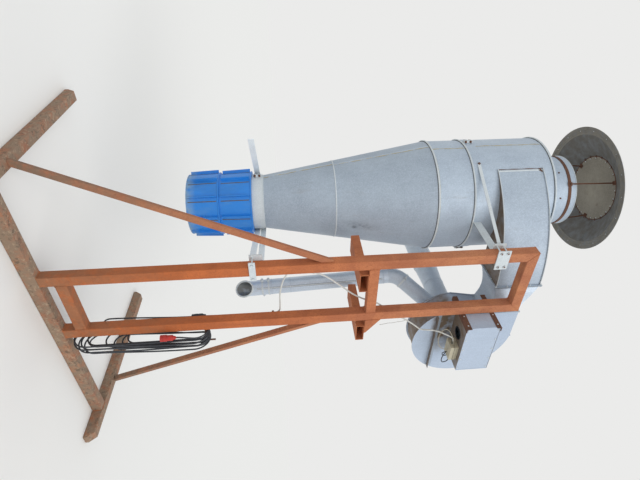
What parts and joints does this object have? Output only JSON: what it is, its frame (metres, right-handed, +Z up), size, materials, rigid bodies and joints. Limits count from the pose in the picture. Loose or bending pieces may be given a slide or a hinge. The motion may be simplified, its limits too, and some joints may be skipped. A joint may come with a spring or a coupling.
{
  "type": "cyclone separator",
  "caption": "Tall sheet-metal cyclone separator with a scroll inlet, fan, rain cap and ribbed outlet skirt, carried by a rusty tube frame on two ground legs.",
  "frame": {"origin": "on the ground under the middle of the ground beam", "axes": "+Z up, +X along the ground beam to the fan's side, +Y from the frame towards the cyclone"},
  "size_m": [2.396, 1.75, 4.7456],
  "materials": {
    "black_cable": "black rubber cable sheath, dusty",
    "blue_skirt": "moulded blue plastic, slightly scuffed",
    "box_cream": "cream plastic terminal box",
    "motor_grey": "machine grey enamel",
    "red_plug": "red plastic industrial plug",
    "rusty_base": "red oxide steel, dirty and rusting near the ground",
    "rusty_fittings": "bare steel fittings, rusted dark brown",
    "rusty_frame": "red oxide steel, rusting evenly",
    "stained_floor": "galvanised sheet stained brown by rust",
    "white_cable": "off-white plastic cable sheath",
    "zinc_cap": "galvanised sheet, dull and stained inside",
    "zinc_fan": "galvanised sheet, pale blue grey",
    "zinc_fittings": "hot-dip galvanised flat bar and plate",
    "zinc_pipe": "spiral and plain galvanised pipe, satin",
    "zinc_shell": "weathered galvanised sheet, matt grey with a fine spangle"
  },
  "bodies": {
    "root": {"base_beam": "rusty_base", "left_leg": "rusty_base", "right_leg": "rusty_base", "left_post": "rusty_frame", "right_post": "rusty_frame", "top_rail": "rusty_frame", "mid_rail": "rusty_frame", "low_rail": "rusty_frame", "left_brace": "rusty_frame", "right_brace": "rusty_frame", "left_fork_pocket": "rusty_frame", "right_fork_pocket": "rusty_frame", "pocket_stub": "rusty_frame", "upper_shell": "zinc_shell", "lower_shell": "zinc_shell", "upper_cone": "zinc_shell", "lower_cone": "zinc_shell", "roof_plate": "zinc_shell", "outlet_collar": "zinc_shell", "collar_strap": "rusty_fittings", "cap_rods": "rusty_fittings", "rain_cap": "zinc_cap", "cap_disc": "zinc_cap", "inlet_scroll": "zinc_shell", "scroll_floor": "stained_floor", "duct_flanges": "zinc_fittings", "transition_duct": "zinc_pipe", "fan_wrap": "zinc_fan", "fan_front_plate": "zinc_fan", "fan_back_plate": "zinc_fan", "fan_stiffener": "zinc_fittings", "motor_cover": "zinc_fan", "motor": "motor_grey", "terminal_box": "box_cream", "fan_rails": "rusty_fittings", "suction_box": "zinc_pipe", "suction_pipe": "zinc_pipe", "main_pipe": "zinc_pipe", "branch_pipe": "zinc_pipe", "down_pipe": "zinc_pipe", "pipe_couplings": "zinc_fittings", "upper_band": "zinc_fittings", "upper_clamp": "zinc_fittings", "clamp_bracket": "zinc_fittings", "tie_bar": "zinc_fittings", "cone_band": "zinc_fittings", "support_bars": "zinc_fittings", "lower_clamp": "zinc_fittings", "upper_skirt": "blue_skirt", "lower_skirt": "blue_skirt", "cable_clips": "rusty_fittings", "cable_hook": "rusty_fittings", "motor_cable": "white_cable", "cable_coupler": "black_cable", "cable_hank": "black_cable", "cable_plug": "red_plug"}
  },
  "joints": []
}
